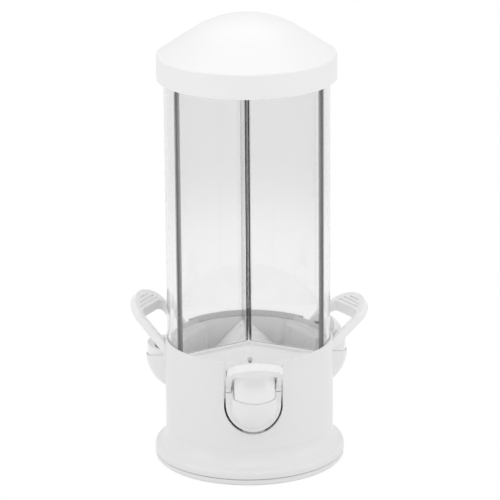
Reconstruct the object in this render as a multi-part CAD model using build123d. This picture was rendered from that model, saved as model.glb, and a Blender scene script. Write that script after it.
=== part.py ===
from build123d import *
from math import cos, hypot, radians, sin, sqrt, tan
import os

os.makedirs("parts", exist_ok=True)

# Countertop candy dispenser: a turntable stand, a white base with three outlets, clear wedge
# canisters and a domed lid. Millimetres, +Z up, origin on the turning axis where the stand
# meets the table. The three outlets point to the azimuths below; the front one is at -Y.
OUTLETS = {"front": -90.0, "right": 30.0, "left": 150.0}
BAYS = {"right": 90.0 - 60.0, "left": 90.0 + 60.0}

# Main sizes: radius of the foot, radius of the base at its rim, and the height of the rim
foot_r = 69.0
rim_r = 60.6
rim_z = 90.6

# General clearances
run_gap = 0.1        # shaft in its bore, on the radius
part_gap = 0.3       # seat between two pieces of different bodies
slide_gap = 0.3      # moving skin beside a fixed one

# Stand: rubber pad, turntable ring, roller bearing and pivot
pad_r = foot_r - 7.0
pad_t = 1.2
ring_r = foot_r - 0.3
ring_lip_z = 0.4     # underside of the ring's outer lip
ring_top = 4.6
ring_floor_top = 4.0
well_r = foot_r - 8.0        # recess in the ring that holds the bearing
ring_round = 1.2
track_r = foot_r - 16.0
roller_d = 2.6
roller_len = 6.0
roller_count = 10
roller_play = 0.25
cage_t = 1.2
cage_w = 11.0
pivot_r = 3.0
pivot_head_r = 8.0
pivot_head_t = 1.8
washer_r = 7.0
washer_t = 1.0
nut_flats = 10.0
nut_t = 5.0

# Base: plate and shell
turn_gap = 0.7       # visible seam between the ring and the base
plate_t = 3.0
foot_roll_z = 8.0    # top of the upright edge of the foot
flare_r = foot_r - 2.4
flare_z = 11.6
waist_r = rim_r + 0.4
waist_z = 25.0
wall = 2.8
rim_depth = 4.5      # rebate that takes the canisters' feet
rim_lip = 1.1
rim_round = 0.4
flare_swell = 1.6    # the hollow's bend, outside the middle of the flare's wall

# Deck of three chutes inside the base
deck_wall = 2.4
chute_slope = 43.0   # fall of a chute's side, square to its ridge
ridge_half = 2.0
pillar_at = rim_r - 12.6
pillar_r = 4.4
pillar_top = 62.0
rib_t = 2.2
tie_r = 2.0
tie_head_r = 3.6
tie_head_t = 2.2
tie_bite = 12.0

# Outlet: U-shaped front, bowl, gate and lever, all about one axle
hinge_r = rim_r - 4.6
hinge_z = 71.5
bowl_r = 26.9        # outer radius of the bowl, about a centre under the axle
bowl_drop = 3.5      # how far that centre lies under the axle
bowl_half = 15.6
bowl_crown = 1.9     # radius of its rounded tread, less its half width
bowl_wall = 1.2
cheek_wall = 1.1
lip_angle = -10.0
bowl_back = -118.0
front_half = 19.7
front_low = 38.5     # lowest point of the U
notch_gap = 1.3      # open seam round the front
notch_drop = 0.7     # and how much wider it is below
mouth_low = 69.0
mouth_high = 84.5
cheek_back = hinge_r - 10.5
axle_r = 1.5
tongue_half = 8.0
tongue_t = 3.0
tongue_low = 29.5
screw_r = 1.45
screw_head_r = 3.0
screw_head_t = 1.8
screw_bite = 1.6

gate_inset = 0.9     # gate's skin inside the bowl's, at their widest
gate_wall = 1.8
gate_low = -15.0     # edges of the shut gate, as angles above the level
gate_high = 58.0
gate_return = 6.0    # depth of the flange that turns inwards at the upper edge
return_angle = 4.5
gate_hub_r = 4.0
gate_hub_in = 9.4
gate_drop = 46.0     # how far the left gate is let down

lever_tip = 52.8     # from the axle to the end of the pad
lever_round = 17.5   # length of the rounded end
lever_top = 5.0      # top face above the axle
arm_low_hub = -1.6   # underside of the arms at the axle and at the pad
arm_low_tip = -1.0
tip_rise = 0.9       # how far the end's underside comes up
lever_hub_r = 4.2
pad_back = 39.4      # where the pad begins
pad_rake = 4.4       # how far its underside reaches back
pad_corner = 5.0
lever_edge = 0.8
groove_pitch = 2.8
groove_w = 1.3
groove_depth = 0.8
groove_lengths = [25.0, 20.0, 11.0]
tail_len = 9.5
tail_t = 3.0
LEVER_ANGLE = {"front": 31.5, "right": 33.5, "left": 44.5}
GATE_TURN = {"front": 0.0, "right": 0.0, "left": gate_drop}

spring_play = 0.6    # strip inside the width of a lever's arm, on each side
spring_t = 0.5

post_at = 12.8       # posts under the valleys, near the middle
post_r = 3.3
post_play = 0.4      # from a post's top to the chute floor above it
valley_screw_r = 1.0
valley_head_r = 1.7
valley_head_t = 1.3
valley_sink = 2.3    # screw's seat below the valley's floor
valley_bite = 9.0

# Canisters and lid
can_r = rim_r - 1.5
can_wall = 2.0
can_split = 0.4      # from the ridge's centre plane to a flat wall
can_round = 3.0
can_top = 294.0
lid_r = can_r + 5.0
lid_wall = 2.3
lid_low = 283.7
lid_edge = 299.7
lid_rise = 29.6
cap_at = lid_r - 24.1        # where the straight slope runs into the round crown
lid_slope = 34.0
lid_round = 1.6
seat_w = 3.0

# Worked-out levels and radii
base_low = ring_top + turn_gap
track_low = ring_floor_top
plate_low = track_low + roller_d + 2 * 0.05
plate_top = plate_low + plate_t
foot_in = foot_r - wall
collar_in = rim_r - wall
seat_z = rim_z - rim_depth
rebate_r = rim_r - rim_lip
deck_r = collar_in - part_gap
floor_drop = deck_wall / cos(radians(chute_slope))
valley_fall = sin(radians(60.0)) * tan(radians(chute_slope))
valley_seat_z = seat_z - post_at * valley_fall - valley_sink
post_top = seat_z - (post_at + post_r) * valley_fall - floor_drop - post_play
notch_half = front_half + notch_gap
front_centre_z = front_low + front_half
bore_r = axle_r + run_gap
arm_in = bowl_half + part_gap
arm_out = front_half - 0.2
bowl_nose = bowl_half + bowl_crown
spring_w = arm_out - arm_in - 2 * spring_play
flare_in = (flare_r + waist_r) / 2 - wall + flare_swell


def node(name, shape):
    shape.label = name
    export_step(shape, f"parts/{name}.step")
    print(f"{name:18s} {len(shape.solids())} solids  {shape.volume / 1000:8.2f} cm3")


def rod(radius, low, high, at=(0, 0)):
    return Pos(at[0], at[1], low) * Cylinder(radius, high - low, align=(Align.CENTER, Align.CENTER, Align.MIN))


def block(x0, x1, y0, y1, z0, z1):
    return Pos((x0 + x1) / 2, (y0 + y1) / 2, (z0 + z1) / 2) * Box(x1 - x0, y1 - y0, z1 - z0)


def turned(*edges):
    """Solid of revolution about Z from edges drawn in the XZ plane."""
    return revolve(Plane.XZ * make_face(Curve() + list(edges)), Axis.Z)


def turned_points(points):
    return revolve(Plane.XZ * make_face(Polyline(*points, close=True)), Axis.Z)


def all_round(shape, angles):
    return [Rot(0, 0, angle) * shape for angle in angles]


def cross_rod(radius, y0, y1, at=(hinge_r, hinge_z)):
    """Round bar along Y, at a radius and height in an outlet's own frame."""
    bar = Cylinder(radius, y1 - y0, align=(Align.CENTER, Align.CENTER, Align.MIN))
    return Pos(at[0], y0, at[1]) * Rot(-90, 0, 0) * bar


# Stand

def foot_pad():
    return rod(pad_r, 0, pad_t)


def turntable_ring():
    body = turned_points([
        (0, ring_lip_z), (ring_r - ring_round, ring_lip_z), (ring_r, ring_lip_z + ring_round),
        (ring_r, ring_top - 0.5), (ring_r - 0.5, ring_top), (well_r, ring_top),
        (well_r, ring_floor_top), (0, ring_floor_top),
    ])
    body -= rod(pad_r + 0.2, 0, pad_t)
    body -= rod(pivot_r + run_gap, 0, ring_top)
    return body - rod(pivot_head_r + 0.3, 0, pad_t + pivot_head_t)


def roller_angles():
    return [360.0 * k / roller_count for k in range(roller_count)]


def rollers():
    centre_z = track_low + 0.05 + roller_d / 2
    roller = Pos(track_r, 0, centre_z) * Rot(0, 90, 0) * Cylinder(roller_d / 2, roller_len)
    return Compound(all_round(roller, roller_angles()))


def roller_cage():
    mid = track_low + 0.05 + roller_d / 2
    cage = rod(track_r + cage_w / 2, mid - cage_t / 2, mid + cage_t / 2)
    cage -= rod(track_r - cage_w / 2, mid - cage_t, mid + cage_t)
    half_l = roller_len / 2 + roller_play
    half_w = roller_d / 2 + roller_play
    pocket = block(track_r - half_l, track_r + half_l, -half_w, half_w, 0, rim_z)
    for hole in all_round(pocket, roller_angles()):
        cage -= hole
    return cage


def pivot_bolt():
    bolt = rod(pivot_head_r, pad_t, pad_t + pivot_head_t)
    return bolt + rod(pivot_r, pad_t, plate_top + washer_t + nut_t + 1.5)


def pivot_washer():
    return rod(washer_r, plate_top + 0.1, plate_top + 0.1 + washer_t) - rod(pivot_r + run_gap, 0, rim_z)


def pivot_nut():
    low = plate_top + 0.1 + washer_t
    hexagon = extrude(RegularPolygon(nut_flats / 2, 6, major_radius=False), nut_t)
    return Pos(0, 0, low) * hexagon - rod(pivot_r + run_gap, 0, rim_z)


# Base

BETWEEN = [angle + 60.0 for angle in OUTLETS.values()]


def base_plate():
    plate = rod(foot_in - part_gap, plate_low, plate_top) - rod(pivot_r + run_gap, 0, rim_z)
    hole = rod(tie_r + 0.3, 0, rim_z, (pillar_at, 0))
    hole += rod(tie_head_r + 0.3, 0, plate_low + tie_head_t, (pillar_at, 0))
    for cut in all_round(hole, BETWEEN):
        plate -= cut
    post = rod(post_r, plate_low + 0.5, post_top, (post_at, 0))
    pilot = rod(valley_screw_r + 0.05, valley_seat_z - valley_bite - 4.5, rim_z, (post_at, 0))
    for upright in all_round(post - pilot, OUTLETS.values()):
        plate += upright
    return plate


def shell_outline():
    """Outer skin of the base, from the foot up to the rim."""
    foot_bend = (foot_r - 0.5, (foot_roll_z + flare_z) / 2 + 0.2)
    flare_bend = ((flare_r + waist_r) / 2 - 1.15, (flare_z + waist_z) / 2 - 2.6)
    return [
        Line((foot_r, base_low), (foot_r, foot_roll_z)),
        ThreePointArc((foot_r, foot_roll_z), foot_bend, (flare_r, flare_z)),
        ThreePointArc((flare_r, flare_z), flare_bend, (waist_r, waist_z)),
        Line((waist_r, waist_z), (rim_r, rim_z - rim_round)),
        Line((rim_r, rim_z - rim_round), (rim_r - rim_round, rim_z)),
    ]


def shell_block():
    return turned(*shell_outline(), Line((rim_r - rim_round, rim_z), (0, rim_z)),
                  Line((0, rim_z), (0, base_low)), Line((0, base_low), (foot_r, base_low)))


def shell_core():
    """Everything inside the base's wall."""
    return turned_points([
        (0, 0), (foot_in, 0), (foot_in, plate_top + 0.2), (flare_in, flare_z + 1.2),
        (collar_in, waist_z), (collar_in, seat_z), (rebate_r, seat_z), (rebate_r, rim_z + 1), (0, rim_z + 1),
    ])


def u_prism(half, low, high):
    """Upright U, round below and open above, cut through the wall along X."""
    x0 = cheek_back - part_gap
    x1 = foot_r + wall
    centre_z = low + half
    prism = block(x0, x1, -half, half, centre_z, high)
    drum = Pos((x0 + x1) / 2, 0, centre_z) * Rot(0, 90, 0) * Cylinder(half, x1 - x0)
    return prism + drum


def base_shell(block_solid, core):
    shell = block_solid - core
    notch = u_prism(notch_half, front_low - notch_gap - notch_drop, rim_z + 1)
    sill_hole = Pos(0, 0, tongue_low + 4.0) * Rot(0, 90, 0) * Cylinder(
        screw_r + 0.05, collar_in + screw_bite + 0.2, align=(Align.CENTER, Align.CENTER, Align.MIN))
    for cut in all_round(notch, OUTLETS.values()) + all_round(sill_hole, OUTLETS.values()):
        shell -= cut
    pillar = rod(pillar_r, plate_top, pillar_top, (pillar_at, 0))
    rib = block(pillar_at, collar_in + 1.0, -rib_t / 2, rib_t / 2, plate_top + 4, front_low - part_gap)
    pillar = pillar + rib - rod(tie_r + 0.3, 0, rim_z, (pillar_at, 0))
    for post in all_round(pillar, BETWEEN):
        shell += post
    return shell


def chute_space(drop):
    """Room over one chute: two planes fall from the ridges and meet in a valley along +X."""
    reach = 2 * rim_r
    far = 60.0
    corner = ridge_half / sin(radians(far))
    sector = Polyline((corner, 0), (corner + reach * cos(radians(far)), reach * sin(radians(far))),
                      (corner + reach * cos(radians(far)), -reach * sin(radians(far))), close=True)
    low = -20.0
    space = Pos(0, 0, low) * extrude(make_face(sector), rim_z + 10 - low)
    for side in (1, -1):
        along = Vector(cos(radians(far)), side * sin(radians(far)), 0)
        inward = Vector(sin(radians(far)), -side * cos(radians(far)), 0)
        fall = inward * cos(radians(chute_slope)) - Vector(0, 0, 1) * sin(radians(chute_slope))
        normal = along.cross(fall)
        if normal.Z < 0:
            normal = normal * -1
        face = Plane(origin=(0, 0, seat_z - drop), x_dir=along, z_dir=normal)
        space = split(space, bisect_by=face, keep=Keep.TOP)
    return space


def chute_deck():
    inside = chute_space(0)
    outside = chute_space(floor_drop)
    skin_low = front_low
    block_solid = rod(deck_r, skin_low, seat_z)
    rim = rod(deck_r, skin_low, seat_z) - rod(deck_r - deck_wall, 0, rim_z)
    ridge_slab = block(0, deck_r, -ridge_half - deck_wall, ridge_half + deck_wall, seat_z - 3 * deck_wall, seat_z)
    deck = rim
    for slab in all_round(ridge_slab, BETWEEN):
        deck += slab & block_solid
    for angle in OUTLETS.values():
        deck += Rot(0, 0, angle) * (outside & block_solid)
    for angle in OUTLETS.values():
        deck -= Rot(0, 0, angle) * inside
    boss = rod(pillar_r, pillar_top + 0.2, seat_z - deck_wall, (pillar_at, 0))
    for post in all_round(boss, BETWEEN):
        deck += post
    throat = block(cheek_back - part_gap, rim_r, -notch_half, notch_half, 0, rim_z)
    bowl_room = barrel(bowl_r + part_gap, bowl_half + part_gap, bowl_nose + part_gap, bowl_drop)
    bowl_room += barrel(*GATE_ROOM)
    hole = rod(tie_r + 0.05, 0, pillar_top + tie_bite + 1.5, (pillar_at, 0))
    inner_boss = rod(post_r, post_top + 0.2, valley_seat_z, (post_at, 0))
    screw_way = rod(valley_screw_r + 0.3, 0, rim_z, (post_at, 0))
    screw_way += rod(valley_head_r + 0.3, valley_seat_z, rim_z, (post_at, 0))
    for angle in OUTLETS.values():
        deck -= Rot(0, 0, angle) * throat
        deck -= Rot(0, 0, angle) * bowl_room
        deck += Rot(0, 0, angle) * inner_boss
        deck -= Rot(0, 0, angle) * screw_way
    for cut in all_round(hole, BETWEEN):
        deck -= cut
    return deck


def tie_screws():
    screw = rod(tie_head_r, plate_low, plate_low + tie_head_t, (pillar_at, 0))
    screw += rod(tie_r, plate_low, pillar_top + tie_bite, (pillar_at, 0))
    return Compound(all_round(screw, BETWEEN))


# Outlets, drawn pointing along +X and turned to their azimuths afterwards

def barrel(radius, half, nose, drop=0.0):
    """Round-nosed drum level with the axle; its tread is an arc of the nose's radius."""
    edge = radius - nose + sqrt(nose ** 2 - half ** 2)
    face = make_face(Curve() + [
        Line((0, -half), (edge, -half)),
        ThreePointArc((edge, -half), (radius, 0), (edge, half)),
        Line((edge, half), (0, half)),
        Line((0, half), (0, -half)),
    ])
    drum = revolve(face, Axis.Y)
    return Pos(hinge_r, 0, hinge_z - drop) * drum


def sector(low_angle, high_angle, reach=60.0, half=30.0):
    """Wedge about the axle between two angles above the horizontal."""
    steps = 4
    points = [(0.0, 0.0)]
    for k in range(steps + 1):
        angle = radians(low_angle + (high_angle - low_angle) * k / steps)
        points.append((reach * cos(angle), reach * sin(angle)))
    face = make_face(Polyline(*points, close=True))
    wedge = extrude(Plane.XZ * face, half, both=True)
    return Pos(hinge_r, 0, hinge_z) * wedge


GATE = (bowl_r - gate_inset, bowl_half - cheek_wall - slide_gap, bowl_nose - slide_gap - 0.2)
GATE_ROOM = tuple(size + slide_gap for size in GATE)


def bowl_hollow():
    """Room in the bowl: the gate's own sweep and the deeper floor under it."""
    return barrel(*GATE_ROOM) + barrel(bowl_r - bowl_wall, GATE_ROOM[1], bowl_nose - bowl_wall, bowl_drop)


def outlet_front(block_solid, core):
    plate = (block_solid - core) & u_prism(front_half, front_low, rim_z + 1)
    plate -= block(cheek_back, foot_r, -front_half - 1, front_half + 1, mouth_low, mouth_high)
    cheeks = block(cheek_back, collar_in + 1.0, -bowl_half, bowl_half, hinge_z - 12, mouth_high + 1.0)
    shelf = block(hinge_r - 3, collar_in + 0.5, -arm_out, arm_out, mouth_high, seat_z)
    hollow = bowl_hollow()
    body = plate + cheeks + shelf - hollow
    body -= block(0, foot_r, -GATE_ROOM[1], GATE_ROOM[1], hinge_z, mouth_high)
    body += (barrel(bowl_r, bowl_half, bowl_nose, bowl_drop) - hollow) & sector(bowl_back, lip_angle)
    for side in (1, -1):
        hub = cross_rod(lever_hub_r + slide_gap, bowl_half, front_half + 1)
        body -= hub if side > 0 else hub.mirror(Plane.XZ)
    tongue = block(collar_in - tongue_t - part_gap, collar_in - part_gap, -tongue_half, tongue_half,
                   tongue_low, front_low + 7) & rod(collar_in - part_gap, 0, rim_z)
    tongue -= Pos(0, 0, tongue_low + 4.0) * Rot(0, 90, 0) * Cylinder(screw_r + 0.15, foot_r, align=(
        Align.CENTER, Align.CENTER, Align.MIN))
    neck = block(collar_in - tongue_t, collar_in + 0.6, -tongue_half, tongue_half, front_low + 2.5, front_low + 7)
    body += tongue + neck
    body -= hollow & sector(bowl_back, lip_angle)
    return body - cross_rod(bore_r, -2 * front_half, 2 * front_half)


def axle():
    pin = cross_rod(axle_r, gate_hub_in, arm_out)
    return Compound([pin, pin.mirror(Plane.XZ)])


def gate():
    """Barrel-shaped cap, drawn shut, with a flange inwards at its upper edge and two hubs."""
    radius, half, nose = GATE
    full = barrel(radius, half, nose)
    skin = full - barrel(radius - gate_wall, half - gate_wall, nose - gate_wall)
    flange = (full - barrel(radius - gate_return, half, nose)) & sector(gate_high - return_angle, gate_high)
    hub = cross_rod(gate_hub_r, gate_hub_in, half)
    body = (skin & sector(gate_low, gate_high)) + flange + hub + hub.mirror(Plane.XZ)
    return body - cross_rod(bore_r, -2 * front_half, 2 * front_half)


def turn_down(shape, angle):
    """Turns a piece about the axle, outer end downwards."""
    return Pos(hinge_r, 0, hinge_z) * Rot(0, angle, 0) * Pos(-hinge_r, 0, -hinge_z) * shape


def lever():
    """Hoop lever, drawn level and raised to its angle afterwards."""
    shoulder = lever_tip - lever_round
    outline = make_face(Curve() + [
        Line((0, -arm_out), (shoulder, -arm_out)),
        EllipticalCenterArc((shoulder, 0), lever_round, arm_out, start_angle=-90, arc_size=180),
        Line((shoulder, arm_out), (0, arm_out)),
        Line((0, arm_out), (0, -arm_out)),
    ])
    depth = lever_top - arm_low_hub
    slab = Pos(0, 0, arm_low_hub) * extrude(outline, depth)
    edges = slab.faces().sort_by(Axis.Z)[-1].edges().filter_by(GeomType.LINE, reverse=True)
    slab = fillet(edges, lever_edge)
    under = Polyline((-1, arm_low_hub - 1), (lever_tip + 1, arm_low_hub - 1), (lever_tip + 1, arm_low_tip + tip_rise),
                     (shoulder, arm_low_tip), (0, arm_low_hub), close=True)
    slab -= extrude(Plane.XZ * make_face(under), arm_out + 1, both=True)
    lean = pad_rake / (lever_top - arm_low_tip)
    low = arm_low_hub - 1
    high = lever_top + 1
    end = pad_back - lean * (lever_top - low)
    gap = make_face(Curve() + [
        Line((-30, -arm_in), (end - pad_corner, -arm_in)),
        RadiusArc((end - pad_corner, -arm_in), (end, pad_corner - arm_in), -pad_corner),
        Line((end, pad_corner - arm_in), (end, arm_in - pad_corner)),
        RadiusArc((end, arm_in - pad_corner), (end - pad_corner, arm_in), -pad_corner),
        Line((end - pad_corner, arm_in), (-30, arm_in)),
        Line((-30, arm_in), (-30, -arm_in)),
    ])
    opening = Pos(0, 0, low) * extrude(gap, hypot(1, lean) * (high - low), dir=(lean, 0, 1))
    body = slab - opening
    for k, length in enumerate(groove_lengths):
        at = pad_back + groove_pitch * (k + 0.85)
        groove = Pos(at, 0, lever_top) * extrude(SlotOverall(length, groove_w, rotation=90), groove_depth, both=True)
        body -= groove
    for side in (1, -1):
        hub = Rot(-90, 0, 0) * Cylinder(lever_hub_r, arm_out - arm_in, align=(Align.CENTER, Align.CENTER, Align.MIN))
        tail = block(-tail_len, 0, 0, arm_out - arm_in, -tail_t / 2, tail_t / 2)
        arm_end = Pos(0, arm_in, 0) * (hub + tail)
        body += arm_end if side > 0 else arm_end.mirror(Plane.XZ)
    body -= Rot(-90, 0, 0) * Cylinder(bore_r, 4 * front_half)
    return Pos(hinge_r, 0, hinge_z) * body


def leaf_spring(lever_angle):
    """Bent steel strip from under the front's shelf to the top of the lever's tail."""
    tail_end = tail_len - 1.5
    a = radians(lever_angle)
    push = (hinge_r - tail_end * cos(a) - (tail_t / 2) * sin(a),
            hinge_z - tail_end * sin(a) + (tail_t / 2) * cos(a) + 0.05)
    top = mouth_high - spring_t - 0.02
    bend_r = push[0] - 2.2
    path = [(hinge_r - 0.2, top), (bend_r + 2.5, top), (bend_r, top - 3.5), (bend_r, push[1] + 4.5), push]
    return strip_solid(path)


def strip_solid(path):
    centre = FilletPolyline(*path, radius=2.0)
    inner = FilletPolyline(*shifted(path, -spring_t), radius=2.0)
    face = make_face(Curve() + [centre, Line(centre @ 1, inner @ 1), inner, Line(inner @ 0, centre @ 0)])
    at = (arm_in + arm_out) / 2
    strip = Pos(0, at, 0) * extrude(Plane.XZ * face, spring_w / 2, both=True)
    return Compound([strip, strip.mirror(Plane.XZ)])


def shifted(path, distance):
    """Moves an open path sideways by mitred corners."""
    moved = []
    for k, point in enumerate(path):
        before = path[max(k - 1, 0)]
        after = path[min(k + 1, len(path) - 1)]
        spans = [(point[0] - before[0], point[1] - before[1]), (after[0] - point[0], after[1] - point[1])]
        spans = [(dx / hypot(dx, dz), dz / hypot(dx, dz)) for dx, dz in spans if hypot(dx, dz) > 0]
        normals = [(dz, -dx) for dx, dz in spans]
        total = (sum(n[0] for n in normals) / len(normals), sum(n[1] for n in normals) / len(normals))
        size = hypot(*total) ** 2
        moved.append((point[0] - distance * total[0] / size, point[1] - distance * total[1] / size))
    return moved


def valley_screws():
    screw = rod(valley_screw_r, valley_seat_z - valley_bite - 4.0, valley_seat_z, (post_at, 0))
    screw += rod(valley_head_r, valley_seat_z, valley_seat_z + valley_head_t, (post_at, 0))
    return Compound(all_round(screw, OUTLETS.values()))


def insert_screws():
    tongue_face = collar_in - part_gap - tongue_t
    bar = Cylinder(screw_r, tongue_t + part_gap + screw_bite, align=(Align.CENTER, Align.CENTER, Align.MIN))
    head = Cylinder(screw_head_r, screw_head_t, align=(Align.CENTER, Align.CENTER, Align.MAX))
    screw = Pos(tongue_face, 0, tongue_low + 4.0) * Rot(0, 90, 0) * (bar + head)
    return Compound(all_round(screw, OUTLETS.values()))


# Canisters and lid

def canister():
    """Clear wedge open at both ends, drawn about +X; its flat walls stand beside the ridges."""
    def wedge(inset, round_r):
        far = 60.0
        corner = (can_split + inset) / sin(radians(far))
        reach = 3 * can_r
        tri = make_face(Polyline((corner, 0), (corner + reach * cos(radians(far)), reach * sin(radians(far))),
                                 (corner + reach * cos(radians(far)), -reach * sin(radians(far))), close=True))
        face = tri & Circle(can_r - inset)
        prism = Pos(0, 0, seat_z + part_gap) * extrude(face, can_top - seat_z - part_gap)
        return fillet(prism.edges().filter_by(Axis.Z), round_r)
    return wedge(0, can_round) - wedge(can_wall, can_round - can_wall)


def lid_skin(inset):
    """Lid's outline moved inwards by a wall; the crown is a cap tangent to the slope."""
    edge_r = lid_r - inset
    slope = radians(lid_slope)
    cap = cap_at / sin(slope)
    lift = inset / cos(slope)
    slope_top = (cap_at - inset * sin(slope), lid_edge + lid_rise - cap * (1 - cos(slope)) - inset * cos(slope))
    low_z = slope_top[1] - (edge_r - lid_round - slope_top[0]) * tan(slope)
    half = slope / 2
    crown = (cap - inset) * sin(half), lid_edge + lid_rise - cap + (cap - inset) * cos(half)
    apex = (0, lid_edge + lid_rise - inset)
    shoulder = (edge_r - lid_round, low_z)
    side_top = (edge_r, low_z - lid_round * 0.9)
    bend = (edge_r - 0.3 * lid_round, low_z - 0.33 * lid_round)
    low = lid_low if inset == 0 else lid_low - 1
    return turned(
        Line((0, low), (edge_r, low)), Line((edge_r, low), side_top),
        ThreePointArc(side_top, bend, shoulder), Line(shoulder, slope_top),
        ThreePointArc(slope_top, crown, apex), Line(apex, (0, low)))


def lid():
    shell = lid_skin(0) - lid_skin(lid_wall)
    low = can_top + part_gap
    seat = rod(can_r, low, lid_edge + 6) - rod(can_r - seat_w, 0, lid_edge + 10)
    seat = seat & lid_skin(1.0)
    return shell + seat


def build():
    node("foot_pad", foot_pad())
    node("turntable_ring", turntable_ring())
    node("roller_cage", roller_cage())
    node("rollers", rollers())
    node("pivot_bolt", pivot_bolt())
    node("pivot_washer", pivot_washer())
    node("pivot_nut", pivot_nut())
    node("base_plate", base_plate())
    block_solid, core = shell_block(), shell_core()
    node("base_shell", base_shell(block_solid, core))
    node("chute_deck", chute_deck())
    node("tie_screws", tie_screws())
    front_piece, pins, gate_piece, lever_piece = outlet_front(block_solid, core), axle(), gate(), lever()
    for name, azimuth in OUTLETS.items():
        place = Rot(0, 0, azimuth)
        node(f"outlet_{name}", place * front_piece)
        node(f"axle_{name}", place * pins)
        node(f"gate_{name}", place * turn_down(gate_piece, GATE_TURN[name]))
        node(f"lever_{name}", place * turn_down(lever_piece, -LEVER_ANGLE[name]))
        node(f"lever_spring_{name}", place * leaf_spring(LEVER_ANGLE[name]))
    node("valley_screws", valley_screws())
    node("outlet_screws", insert_screws())
    for name, azimuth in BAYS.items():
        node(f"canister_{name}", Rot(0, 0, azimuth) * canister())
    node("lid", lid())


build()
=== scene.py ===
# %% [markdown]
# # A countertop candy dispenser, all white and clear
#
# The dispenser stands on a turntable. A white base carries three outlets, each with a gate and
# a lever like a hoop. Clear wedge-shaped canisters stand on the base, and a domed lid closes
# them. One bay is empty, so the chute under it shows.
#
# The frame gives the exact solids with their joints. This lesson dresses them: it adds moulded
# plastic with depth, clear walls with round corners, two hoods, soft studio light and a camera.

# %% The frame and its size
from math import cos, radians, sin

import bmesh
import bpy
from mathutils import Matrix, Vector


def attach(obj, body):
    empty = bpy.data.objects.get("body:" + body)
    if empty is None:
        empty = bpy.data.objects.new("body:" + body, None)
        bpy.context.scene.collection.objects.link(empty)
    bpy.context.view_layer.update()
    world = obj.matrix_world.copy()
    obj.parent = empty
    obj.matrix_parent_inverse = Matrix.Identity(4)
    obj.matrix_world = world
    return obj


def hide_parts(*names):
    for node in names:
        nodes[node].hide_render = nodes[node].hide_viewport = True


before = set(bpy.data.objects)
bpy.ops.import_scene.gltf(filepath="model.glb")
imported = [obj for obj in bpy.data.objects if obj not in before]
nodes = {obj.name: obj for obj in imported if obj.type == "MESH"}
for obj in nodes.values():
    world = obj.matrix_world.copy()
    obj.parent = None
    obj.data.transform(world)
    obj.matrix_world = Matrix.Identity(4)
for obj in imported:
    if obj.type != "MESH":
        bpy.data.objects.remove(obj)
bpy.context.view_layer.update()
MM = 0.001

# %% [markdown]
# ## Small helpers for shader nodes
#
# A material is a tree of nodes. It could be wired by hand in the editor, but here every node and
# every link is a line of code. A few helpers take over the lines that repeat, so that a
# recipe reads in the order in which its effect is built up. Each one takes a place for its
# node, which only matters to someone who opens the tree in the editor.

# %% Helpers for nodes
def grey(level):
    return (level, level, level, 1)


def add_node(tree, kind, x, y, **values):
    node = tree.nodes.new(kind)
    node.location = (x, y)
    for key, value in values.items():
        setattr(node, key, value)
    return node


def feed(tree, socket, value):
    """Gives a socket a fixed value, or a link where the value is another node's output."""
    if isinstance(value, (int, float, tuple)):
        socket.default_value = value
    else:
        tree.links.new(value, socket)


def new_group(name, inputs, outputs):
    tree = bpy.data.node_groups.new(name, "ShaderNodeTree")
    for label, kind, value in inputs:
        socket = tree.interface.new_socket(label, in_out="INPUT", socket_type=kind)
        socket.default_value = value
    for label, kind in outputs:
        tree.interface.new_socket(label, in_out="OUTPUT", socket_type=kind)
    start = add_node(tree, "NodeGroupInput", -900, 0)
    end = add_node(tree, "NodeGroupOutput", 700, 0)
    return tree, start.outputs, end.inputs


def noise(tree, scale, detail, x, y, coords):
    node = add_node(tree, "ShaderNodeTexNoise", x, y)
    node.inputs["Scale"].default_value = scale
    node.inputs["Detail"].default_value = detail
    node.inputs["Roughness"].default_value = 0.55
    tree.links.new(coords, node.inputs["Vector"])
    return node.outputs["Fac"]


def spread(tree, value, low, high, x, y):
    """Maps the middle of a noise, where nearly all of it lies, onto a range."""
    node = add_node(tree, "ShaderNodeMapRange", x, y)
    settings = {"Value": value, "From Min": 0.3, "From Max": 0.7, "To Min": low, "To Max": high}
    for label, setting in settings.items():
        feed(tree, node.inputs[label], setting)
    return node.outputs["Result"]


def calc(tree, operation, x, y, *values):
    node = add_node(tree, "ShaderNodeMath", x, y, operation=operation)
    for socket, value in zip(node.inputs, values):
        feed(tree, socket, value)
    return node.outputs[0]


def mix_colour(tree, factor, one, other, x, y):
    node = add_node(tree, "ShaderNodeMix", x, y, data_type="RGBA")
    for number, value in ((0, factor), (6, one), (7, other)):
        feed(tree, node.inputs[number], value)
    return node.outputs[2]


def blank_material(name):
    material = bpy.data.materials.new(name)
    material.use_nodes = True
    tree = material.node_tree
    return material, tree, tree.nodes["Principled BSDF"]


print("helpers for nodes are ready")

# %% [markdown]
# ## A skin for moulded plastic
#
# Injection-moulded plastic is never quite even. It has a very fine grain from the mould, slow
# changes of gloss where the melt flowed, long waves that show only in a reflection, and a little
# dust. All of the white pieces share that. It could be built into each material, but then a
# change would have to be made ten times, so it is one node group. It takes the plain colour
# and gives back a slightly uneven colour, a roughness and a bumped normal, and each material
# sets its own amounts.

# %% The group for moulded plastic
FLOW_SCALE = 18.0
SPECK_SCALE = 420.0
GRAIN_SCALE = 1500.0
WAVE_SCALE = 35.0
GRAIN_DEPTH = 0.02 * MM
WORN_TONE = (0.78, 0.78, 0.77, 1)
DUST_TONE = (0.74, 0.73, 0.71, 1)


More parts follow.
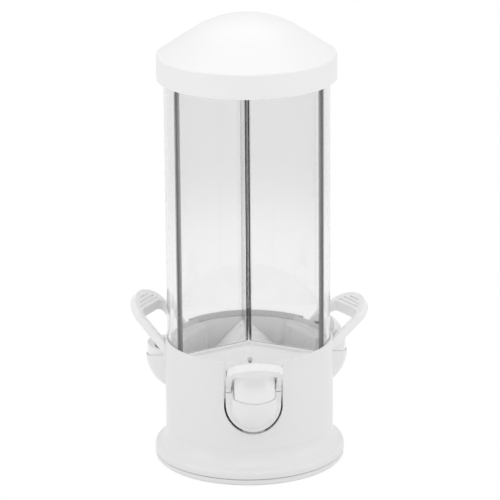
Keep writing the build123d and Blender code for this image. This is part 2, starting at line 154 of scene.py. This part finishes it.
def moulded_skin():
    tree, given, result = new_group(
        "moulded skin",
        [("Colour", "NodeSocketColor", grey(0.9)), ("Roughness", "NodeSocketFloat", 0.3),
         ("Unevenness", "NodeSocketFloat", 0.05), ("Dust", "NodeSocketFloat", 0.04),
         ("Grain Height", "NodeSocketFloat", 0.05)],
        [("Colour", "NodeSocketColor"), ("Roughness", "NodeSocketFloat"),
         ("Normal", "NodeSocketVector")])
    coords = add_node(tree, "ShaderNodeTexCoord", -900, -300).outputs["Object"]
    flow = noise(tree, FLOW_SCALE, 3.0, -650, 200, coords)
    specks = noise(tree, SPECK_SCALE, 2.0, -650, 0, coords)
    grain = noise(tree, GRAIN_SCALE, 2.0, -650, -250, coords)
    wave = noise(tree, WAVE_SCALE, 1.0, -650, -450, coords)

    lowest = calc(tree, "SUBTRACT", -450, 300, 1.0, given["Unevenness"])
    tone = spread(tree, flow, lowest, 1.0, -250, 300)
    shade = mix_colour(tree, tone, WORN_TONE, given["Colour"], -50, 300)
    dusty = calc(tree, "MULTIPLY", -250, 50, spread(tree, specks, 0.0, 1.0, -450, 0), given["Dust"])
    dusted = mix_colour(tree, dusty, shade, DUST_TONE, 150, 200)

    uneven_gloss = spread(tree, flow, 0.85, 1.2, -250, -100)
    gloss = calc(tree, "MULTIPLY", -50, -50, given["Roughness"], uneven_gloss)
    gloss = calc(tree, "ADD", 150, -50, gloss, dusty)

    bump = add_node(tree, "ShaderNodeBump", 150, -300)
    bump.inputs["Distance"].default_value = GRAIN_DEPTH
    height = calc(tree, "MULTIPLY_ADD", -450, -450, wave, 2.0, grain)
    tree.links.new(given["Grain Height"], bump.inputs["Strength"])
    tree.links.new(height, bump.inputs["Height"])

    tree.links.new(dusted, result["Colour"])
    tree.links.new(gloss, result["Roughness"])
    tree.links.new(bump.outputs["Normal"], result["Normal"])
    return tree


MOULDED = moulded_skin()
print("group:", MOULDED.name, "with", len(MOULDED.nodes), "nodes")

# %% [markdown]
# ## White plastics, rubber and steel
#
# The base, the chute, the outlets, the gates, the levers and the lid are all white, but light
# falls on them so differently that a single white would look flat. Each gets its own level of
# white and its own gloss, and the gates are the glossiest. The levels are partly painted light
# and shade: the chute's white is painted lighter and the base's darker. The rubber pad and the
# cage of the bearing use the same skin with other amounts, and so does the steel, which only adds
# the metal. A recipe of its own for each would only repeat the same lines.

# %% Materials that use the skin
def skinned(name, colour, roughness, unevenness, dust, grain):
    material, tree, shader = blank_material(name)
    skin = add_node(tree, "ShaderNodeGroup", -300, 200, node_tree=MOULDED)
    amounts = {"Colour": colour, "Roughness": roughness, "Unevenness": unevenness,
               "Dust": dust, "Grain Height": grain}
    for label, amount in amounts.items():
        skin.inputs[label].default_value = amount
    for label, socket in (("Colour", "Base Color"), ("Roughness", "Roughness"), ("Normal", "Normal")):
        tree.links.new(skin.outputs[label], shader.inputs[socket])
    return material, shader


def plastic(name, colour, roughness, unevenness=0.04, dust=0.02, grain=0.25, coat=0.1):
    material, shader = skinned(name, colour, roughness, unevenness, dust, grain)
    shader.inputs["IOR"].default_value = 1.5
    shader.inputs["Coat Weight"].default_value = coat
    shader.inputs["Coat Roughness"].default_value = 0.12
    return material


def bright_steel():
    material, shader = skinned("bright steel", grey(0.6), 0.25, 0.2, 0.04, 0.4)
    shader.inputs["Metallic"].default_value = 1.0
    return material


# The base's lower white is painted shade.
SHELL_WHITE = plastic("shell white", grey(0.845), 0.34, grain=0.12)
LID_WHITE = plastic("lid white", grey(0.92), 0.36)
# The chute's higher white is painted light.
DECK_WHITE = plastic("chute white", grey(0.95), 0.3, unevenness=0.02, dust=0.005, grain=0.06)
OUTLET_WHITE = plastic("outlet white", grey(0.88), 0.3, grain=0.1)
GATE_WHITE = plastic("gate white", grey(0.92), 0.2, unevenness=0.02, dust=0.005, grain=0.04, coat=0.3)
LEVER_WHITE = plastic("lever white", grey(0.915), 0.3, grain=0.12)
RING_WHITE = plastic("turntable white", grey(0.85), 0.4)
# The hood's grey is painted shade, not a grey plastic.
HOOD_SHADE = plastic("hood painted shade", grey(0.73), 0.45, unevenness=0.02, dust=0.01, grain=0.1, coat=0.0)
CAGE_CREAM = plastic("roller cage plastic", (0.72, 0.71, 0.67, 1), 0.5, coat=0.0)
RUBBER = plastic("foot rubber", grey(0.06), 0.75, unevenness=0.1, dust=0.1, grain=0.8, coat=0.0)
STEEL = bright_steel()
print("materials that use the skin:", MOULDED.users)

# %% [markdown]
# ## Scuffs and painted shade on clear plastic
#
# A clear canister that is taken off and filled gets a faint haze, and it runs up and down,
# because the hands do. A bump could show it too, but it would bend all that is seen through the
# wall. So a noise that is stretched upwards adds a very small haze and nothing else. The group
# also paints shade: it blends two tints by height, so that the walls turn greyer towards the top.

# %% The group for scuffs and painted shade
RUB_SCALE = 120.0
RUB_STRETCH = 0.12
HAZE_TONE = grey(0.8)
GREYER_FROM = 150 * MM
GREYER_TO = 215 * MM


def scuffs_and_painted_shade():
    tree, given, result = new_group(
        "fine scuffs and painted shade",
        [("Colour", "NodeSocketColor", grey(1.0)), ("Roughness", "NodeSocketFloat", 0.03),
         ("Haze", "NodeSocketFloat", 0.03), ("Top Colour", "NodeSocketColor", grey(1.0))],
        [("Colour", "NodeSocketColor"), ("Roughness", "NodeSocketFloat")])
    coords = add_node(tree, "ShaderNodeTexCoord", -900, -300).outputs["Object"]
    stretch = add_node(tree, "ShaderNodeMapping", -750, -300)
    stretch.inputs["Scale"].default_value = (1.0, 1.0, RUB_STRETCH)
    tree.links.new(coords, stretch.inputs["Vector"])
    rub = noise(tree, RUB_SCALE, 4.0, -550, 0, stretch.outputs["Vector"])
    haze = calc(tree, "MULTIPLY", -150, 0, spread(tree, rub, 0.0, 1.0, -350, 0), given["Haze"])

    place = add_node(tree, "ShaderNodeSeparateXYZ", -750, 400)
    tree.links.new(coords, place.inputs[0])
    rise = add_node(tree, "ShaderNodeMapRange", -550, 400, interpolation_type="SMOOTHSTEP")
    rise.inputs["From Min"].default_value = GREYER_FROM
    rise.inputs["From Max"].default_value = GREYER_TO
    tree.links.new(place.outputs["Z"], rise.inputs["Value"])
    graded = mix_colour(tree, rise.outputs["Result"], given["Colour"], given["Top Colour"], -350, 400)

    tree.links.new(mix_colour(tree, haze, graded, HAZE_TONE, 50, 200), result["Colour"])
    tree.links.new(calc(tree, "ADD", 50, 0, haze, given["Roughness"]), result["Roughness"])
    return tree


SCUFFS_AND_SHADE = scuffs_and_painted_shade()
print("group:", SCUFFS_AND_SHADE.name, "with", len(SCUFFS_AND_SHADE.nodes), "nodes")

# %% [markdown]
# ## Clear plastic
#
# The canisters are clear, rigid plastic. Through two walls the white room turns a light grey,
# and the thick corners look nearly black, because they bend the light away. A plain shader with
# full transmission does the walls. For the corners it would depend on what stands behind, so
# they get a greyer plastic of their own, a painted shade, and the dark lines hold from every side.
#
# Real light reaches the inside through the walls. A renderer's lamps can't find their way
# through a bending surface, so for their rays, and for soft light, a plain transparent
# shader takes over. What the camera sees is still bent and mirrored.

# %% Clear plastics
def let_light_through(tree, shader, passing):
    path = add_node(tree, "ShaderNodeLightPath", -300, 600).outputs
    soft = calc(tree, "MAXIMUM", -100, 600, path["Is Shadow Ray"], path["Is Diffuse Ray"])
    through = add_node(tree, "ShaderNodeBsdfTransparent", 50, -200)
    through.inputs["Color"].default_value = grey(passing)
    mixed = add_node(tree, "ShaderNodeMixShader", 300, 100)
    tree.links.new(soft, mixed.inputs[0])
    tree.links.new(shader.outputs["BSDF"], mixed.inputs[1])
    tree.links.new(through.outputs["BSDF"], mixed.inputs[2])
    tree.links.new(mixed.outputs[0], tree.nodes["Material Output"].inputs["Surface"])


def clear_plastic(name, level, top_level, roughness, haze, passing, clearness):
    material, tree, shader = blank_material(name)
    scuff_shade_node = add_node(tree, "ShaderNodeGroup", -300, 200, node_tree=SCUFFS_AND_SHADE)
    amounts = {"Colour": grey(level), "Top Colour": grey(top_level), "Roughness": roughness, "Haze": haze}
    for label, amount in amounts.items():
        scuff_shade_node.inputs[label].default_value = amount
    tree.links.new(scuff_shade_node.outputs["Colour"], shader.inputs["Base Color"])
    tree.links.new(scuff_shade_node.outputs["Roughness"], shader.inputs["Roughness"])
    shader.inputs["Transmission Weight"].default_value = clearness
    shader.inputs["IOR"].default_value = 1.49
    let_light_through(tree, shader, passing)
    return material


# The wall's top colour is painted shade, so the walls grey towards the top.
CLEAR = clear_plastic("clear wall", 0.934, 0.866, 0.0, 0.003, passing=0.98, clearness=1.0)
# The corner plastic's dark grey is painted shade for the thick corners.
CLEAR_EDGE = clear_plastic("clear corner", 0.28, 0.28, 0.25, 0.01, passing=0.7, clearness=0.5)
print("clear plastics:", CLEAR.name, "and", CLEAR_EDGE.name)

# %% [markdown]
# ## Giving the solids their materials
#
# Every solid from the frame keeps its shape, and only its material changes. That could be a line
# for each of the 31 solids, but their names start with the kind of piece they are, so
# a short list of beginnings is enough, and the first that fits is taken.

# %% Dress the frame
DRESS = [
    ("base_shell", SHELL_WHITE), ("base_plate", SHELL_WHITE), ("chute_deck", DECK_WHITE),
    ("turntable_ring", RING_WHITE), ("foot_pad", RUBBER), ("roller_cage", CAGE_CREAM),
    ("rollers", STEEL), ("pivot_", STEEL), ("tie_screws", STEEL), ("valley_screws", STEEL),
    ("outlet_screws", STEEL), ("axle_", STEEL), ("lever_spring_", STEEL),
    ("outlet_", OUTLET_WHITE), ("gate_", GATE_WHITE), ("lever_", LEVER_WHITE),
    ("canister_", CLEAR), ("lid", LID_WHITE),
]


def dress(name, obj):
    material = next(material for start, material in DRESS if name.startswith(start))
    obj.data.materials.clear()
    obj.data.materials.append(material)
    return material.name


for name, obj in nodes.items():
    print(name, "->", dress(name, obj))

# %% [markdown]
# ## The outline of a clear canister
#
# A canister is a tube with a wedge-shaped outline: one curved wall and two flat ones, a third of
# a circle in all. Its sizes are those of the solids: outside radius, wall, half of the seam
# between two canisters, the round of its corners, its foot and its open top. The outline
# could be typed in point by point, but operators do it more surely: a disc is cut twice to
# a wedge, and bevel rounds its three corners.

# %% One wedge outline
CAN_R = 59.1 * MM
CAN_WALL = 2.0 * MM
CAN_SPLIT = 0.4 * MM
CAN_ROUND = 3.0 * MM
CAN_LOW = 86.4 * MM
CAN_TOP = 294.0 * MM
BAY_MIDDLE = {"right": 30.0, "left": 150.0}
BAY_HALF = radians(60)
SHARP_CORNER = radians(150)


def is_corner(vert):
    """True where the outline turns sharply, and not along the arc."""
    if len(vert.link_edges) != 2:
        return False
    one, other = [(edge.other_vert(vert).co - vert.co).normalized() for edge in vert.link_edges]
    return one.angle(other) < SHARP_CORNER


def wedge_outline(bm, inset, corner_round):
    """Adds a wedge-shaped face about +X and returns it."""
    before = set(bm.faces)
    bmesh.ops.create_circle(bm, cap_ends=True, radius=CAN_R - inset, segments=240)
    face = next(f for f in bm.faces if f not in before)
    for side in (1, -1):
        outward = Vector((-sin(BAY_HALF), side * cos(BAY_HALF), 0))
        bmesh.ops.bisect_plane(bm, geom=face.verts[:] + face.edges[:] + [face],
                               plane_co=-outward * (CAN_SPLIT + inset), plane_no=outward,
                               clear_outer=True)
        face = next(f for f in bm.faces if f not in before)
    corners = [v for v in face.verts if is_corner(v)]
    bmesh.ops.bevel(bm, geom=corners, affect="VERTICES", offset=corner_round,
                    offset_type="OFFSET", segments=8, profile=0.5, material=-1)
    return next(f for f in bm.faces if f not in before)


print("canister in mm:", round(CAN_R / MM, 1), "outside,", round((CAN_TOP - CAN_LOW) / MM, 1), "tall")

# %% [markdown]
# ## Two clear canisters
#
# The wall could be made by giving a single skin a thickness, but the inner corners are sharper
# than the outer ones. So a second, smaller outline is made, bridged to the first and drawn
# upwards together with it. That closes the rims too.
#
# The darker plastic, a painted shade, goes where the real canister looks dark: round its free
# outer corner, in a thin line beside the seam between the canisters, and on the rim of its foot.

# %% A canister from two outlines
FREE_BAND = 3.6 * MM
SEAM_FROM = 0.6 * MM
SEAM_TO = 1.7 * MM
SMOOTH_BELOW = radians(32)


def finish_mesh(bm, name, materials, body):
    """Makes the mesh an object that rides on a body."""
    bmesh.ops.recalc_face_normals(bm, faces=bm.faces[:])
    mesh = bpy.data.meshes.new(name)
    bm.to_mesh(mesh)
    bm.free()
    for material in materials:
        mesh.materials.append(material)
    mesh.polygons.foreach_set("use_smooth", [True] * len(mesh.polygons))
    mesh.set_sharp_from_angle(angle=SMOOTH_BELOW)
    piece = bpy.data.objects.new(name, mesh)
    bpy.context.scene.collection.objects.link(piece)
    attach(piece, body)
    print(name, "faces:", len(mesh.polygons))
    return piece


def turn_to(bm, azimuth):
    bmesh.ops.rotate(bm, verts=bm.verts[:], cent=(0, 0, 0), matrix=Matrix.Rotation(radians(azimuth), 3, "Z"))


def darken_corners(bm, side):
    """Gives the faces at the free corner, beside the seam and on the foot's rim the darker plastic that
    paints their shade.
    """
    free = Vector((CAN_R * cos(BAY_HALF), -side * CAN_R * sin(BAY_HALF), 0))
    seam_side = Vector((sin(BAY_HALF), -side * cos(BAY_HALF), 0))
    for face in bm.faces:
        spot = face.calc_center_median()
        at_rim = spot.z < 0.01 * MM
        spot.z = 0
        at_free = (spot - free).length < FREE_BAND
        at_seam = spot.length > CAN_R - CAN_ROUND and SEAM_FROM < spot.dot(seam_side) < SEAM_TO
        face.material_index = 1 if at_rim or at_free or at_seam else 0


def clear_canister(name, middle):
    bm = bmesh.new()
    outer = wedge_outline(bm, 0.0, CAN_ROUND)
    outer_edges = outer.edges[:]
    bmesh.ops.delete(bm, geom=[outer], context="FACES_ONLY")
    inner = wedge_outline(bm, CAN_WALL, CAN_ROUND - CAN_WALL)
    inner_edges = inner.edges[:]
    bmesh.ops.delete(bm, geom=[inner], context="FACES_ONLY")
    rim = bmesh.ops.bridge_loops(bm, edges=outer_edges + inner_edges)["faces"]
    raised = bmesh.ops.extrude_face_region(bm, geom=rim, use_keep_orig=True)["geom"]
    top = [item for item in raised if isinstance(item, bmesh.types.BMVert)]
    bmesh.ops.translate(bm, verts=top, vec=(0, 0, CAN_TOP - CAN_LOW))
    darken_corners(bm, 1 if middle < 90 else -1)
    bmesh.ops.translate(bm, verts=bm.verts[:], vec=(0, 0, CAN_LOW))
    turn_to(bm, middle)
    piece = finish_mesh(bm, name, [CLEAR, CLEAR_EDGE], "base")
    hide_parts("canister_" + name.split("_")[-1])


for side, middle in BAY_MIDDLE.items():
    clear_canister("clear_wall_" + side, middle)

# %% [markdown]
# ## Hoods at the canisters' feet
#
# Behind each outlet the lever, the pins and the springs sit in a pocket of the chute. A thin
# moulded hood at the canister's foot keeps the candy out of it, which is why the canisters show
# a plain grey wall there. The empty bay has none, because its hood went with its canister. The
# hood's grey is painted shade, for the shadow under the rim and the lid.
#
# The hood could be carved from a solid, but a box without its back and bottom faces is nearer
# to a thin moulding. Its folds are rounded, a lip that follows the canister's curved wall is
# spun from a bent line, and solidify gives all of it one thin wall.

# %% Two hoods
HOOD_IN = 44.5 * MM
HOOD_OUT = 52.4 * MM
HOOD_HALF = 20.8 * MM
HOOD_LOW = 66.0 * MM
HOOD_TOP = 86.5 * MM
HOOD_WALL = 0.35 * MM
HOOD_FOLD = 2.4 * MM
LIP_FROM = 50.5 * MM
LIP_R = 56.8 * MM
LIP_TOP = 90.3 * MM


def throat_hood(name, turned):
    bm = bmesh.new()
    bmesh.ops.create_cube(bm, size=1.0)
    bmesh.ops.scale(bm, verts=bm.verts[:],
                    vec=(HOOD_OUT - HOOD_IN, 2 * HOOD_HALF, HOOD_TOP - HOOD_LOW))
    bmesh.ops.translate(bm, verts=bm.verts[:],
                        vec=((HOOD_OUT + HOOD_IN) / 2, 0, (HOOD_TOP + HOOD_LOW) / 2))
    open_sides = [f for f in bm.faces if f.normal.z < -0.5 or f.normal.x > 0.5]
    bmesh.ops.delete(bm, geom=open_sides, context="FACES")
    folds = [e for e in bm.edges if len(e.link_faces) == 2]
    bmesh.ops.bevel(bm, geom=folds, affect="EDGES", offset=HOOD_FOLD, offset_type="OFFSET",
                    segments=6, profile=0.5, material=-1)

    bends = ((LIP_FROM, HOOD_TOP), (LIP_R, HOOD_TOP), (LIP_R, LIP_TOP))
    points = [bm.verts.new((x, 0, z)) for x, z in bends]
    line = [bm.edges.new(pair) for pair in zip(points, points[1:])]
    half_turn = HOOD_HALF / LIP_R
    bmesh.ops.rotate(bm, verts=points, cent=(0, 0, 0), matrix=Matrix.Rotation(-half_turn, 3, "Z"))
    bmesh.ops.spin(bm, geom=points + line, cent=(0, 0, 0), axis=(0, 0, 1), angle=2 * half_turn,
                   steps=24, use_merge=False)

    bmesh.ops.recalc_face_normals(bm, faces=bm.faces[:])
    bmesh.ops.solidify(bm, geom=bm.faces[:], thickness=HOOD_WALL)
    turn_to(bm, turned)
    finish_mesh(bm, name, [HOOD_SHADE], "base")


for side, middle in BAY_MIDDLE.items():
    throat_hood("throat_hood_" + side, middle)

# %% [markdown]
# ## The camera
#
# The photograph was taken with a long lens from a little above and about three degrees to one
# side. A camera could be placed by eye, but then no edge would quite lie on the same edge in the
# picture. So its distance, height, tilt and lens were worked out from the round edges of the
# lid, the rim and the foot, and they are given here as numbers.

# %% Camera
CAM_AWAY = 2208.0 * MM
CAM_HIGH = 848.51 * MM
CAM_PITCH = 0.3042
CAM_YAW = 0.0006
CAM_ROLL = -0.008
CAM_ROUND = radians(-2.9)
CAM_LENS = 231.53


def camera_matrix():
    forward = Vector((sin(CAM_YAW) * cos(CAM_PITCH), cos(CAM_YAW) * cos(CAM_PITCH), -sin(CAM_PITCH)))
    right = forward.cross(Vector((0, 0, 1))).normalized()
    up = right.cross(forward)
    tilted_right = right * cos(CAM_ROLL) + up * sin(CAM_ROLL)
    tilted_up = up * cos(CAM_ROLL) - right * sin(CAM_ROLL)
    pose = Matrix((tilted_right, tilted_up, -forward)).transposed().to_4x4()
    pose.translation = Vector((0, -CAM_AWAY, CAM_HIGH))
    return Matrix.Rotation(CAM_ROUND, 4, "Z") @ pose


camera_data = bpy.data.cameras.new("camera")
camera_data.lens = CAM_LENS
camera_data.sensor_width = 36.0
camera_data.clip_end = 20.0
camera = bpy.data.objects.new("camera", camera_data)
camera.matrix_world = camera_matrix()
bpy.context.scene.collection.objects.link(camera)
bpy.context.scene.camera = camera
print("camera at mm:", [round(v / MM, 1) for v in camera.location])

# %% [markdown]
# ## The floor
#
# The photograph has no horizon: the table and the wall are one white. More light would bleach
# the object too, so the whiteness is in the floor's own material. What the camera sees, and
# what gloss and clear plastic show, is mostly a plain white glow. The rest is matt paper,
# which keeps the soft shadow under the foot and throws light back as a real table does.

# %% Floor
FLOOR_HALF = 4.0
FLOOR_GLOW = 0.9
GLOW_STRENGTH = 1.03


def seen_directly(tree):
    """1 for what the camera, gloss and clear plastic see, and 0 for soft light and shadows."""
    path = add_node(tree, "ShaderNodeLightPath", -900, 0).outputs
    seen = calc(tree, "MAXIMUM", -700, 0, path["Is Camera Ray"], path["Is Glossy Ray"])
    return calc(tree, "MAXIMUM", -500, 0, seen, path["Is Transmission Ray"])


def make_floor():
    bm = bmesh.new()
    bmesh.ops.create_grid(bm, x_segments=1, y_segments=1, size=FLOOR_HALF)
    mesh = bpy.data.meshes.new("floor")
    bm.to_mesh(mesh)
    bm.free()
    floor = bpy.data.objects.new("floor", mesh)
    bpy.context.scene.collection.objects.link(floor)
    material, tree, shader = blank_material("studio floor")
    tree.nodes.remove(shader)
    paper = add_node(tree, "ShaderNodeBsdfDiffuse", -300, 100)
    paper.inputs["Color"].default_value = grey(0.9)
    glow = add_node(tree, "ShaderNodeEmission", -300, -100)
    glow.inputs["Strength"].default_value = GLOW_STRENGTH
    share = calc(tree, "MULTIPLY", -400, -200, seen_directly(tree), FLOOR_GLOW)
    mixed = add_node(tree, "ShaderNodeMixShader", -50, 0)
    tree.links.new(share, mixed.inputs[0])
    tree.links.new(paper.outputs[0], mixed.inputs[1])
    tree.links.new(glow.outputs[0], mixed.inputs[2])
    tree.links.new(mixed.outputs[0], tree.nodes["Material Output"].inputs["Surface"])
    mesh.materials.append(material)
    print("floor:", 2 * FLOOR_HALF, "m wide")


make_floor()

# %% [markdown]
# ## Lamps
#
# White on white needs even light with a little direction. Small lamps would draw hard shadows of
# the levers, so four large soft ones are used: one above and behind, one high in front and one
# on each side. They are weak enough that the top of the lid keeps its shape instead of
# turning into plain white.

# %% Four soft lamps
AIM_AT = Vector((0, 0, 0.16))
LAMPS = {
    "top lamp": ((0.0, 0.45, 1.6), (1.4, 1.2), 5.2),
    "front lamp": ((0.0, -1.3, 1.6), (1.2, 0.8), 4.3),
    "left lamp": ((-1.5, -0.6, 0.7), (1.0, 1.4), 3.6),
    "right lamp": ((1.5, -0.5, 0.6), (1.0, 1.4), 3.6),
}


def soft_lamp(name, place, size, power):
    data = bpy.data.lights.new(name, "AREA")
    data.shape = "RECTANGLE"
    data.size, data.size_y = size
    data.energy = power
    lamp = bpy.data.objects.new(name, data)
    lamp.location = place
    lamp.rotation_euler = (AIM_AT - Vector(place)).to_track_quat("-Z", "Y").to_euler()
    bpy.context.scene.collection.objects.link(lamp)


for name, (place, size, power) in LAMPS.items():
    soft_lamp(name, place, size, power)
print("lamps:", {name: power for name, (_, _, power) in LAMPS.items()})

# %% [markdown]
# ## The room
#
# The room round the table is white. It could be one background colour, but a room as bright as
# the picture's white would wash out every shade on the object. So the room is white only where
# it is seen, in a reflection or through the canisters, and it lights the object at a lower level.

# %% World
ROOM_LEVEL = 0.675


def make_world():
    world = bpy.data.worlds.new("white room")
    bpy.context.scene.world = world
    world.use_nodes = True
    tree = world.node_tree
    dim = tree.nodes["Background"]
    dim.inputs["Color"].default_value = grey(1.0)
    dim.inputs["Strength"].default_value = ROOM_LEVEL
    white = add_node(tree, "ShaderNodeBackground", -200, -200)
    white.inputs["Strength"].default_value = 1.0
    mixed = add_node(tree, "ShaderNodeMixShader", 0, 0)
    tree.links.new(seen_directly(tree), mixed.inputs[0])
    tree.links.new(dim.outputs[0], mixed.inputs[1])
    tree.links.new(white.outputs[0], mixed.inputs[2])
    tree.links.new(mixed.outputs[0], tree.nodes["World Output"].inputs["Surface"])


make_world()
bpy.context.scene.view_settings.view_transform = "Standard"
print("room level:", ROOM_LEVEL)
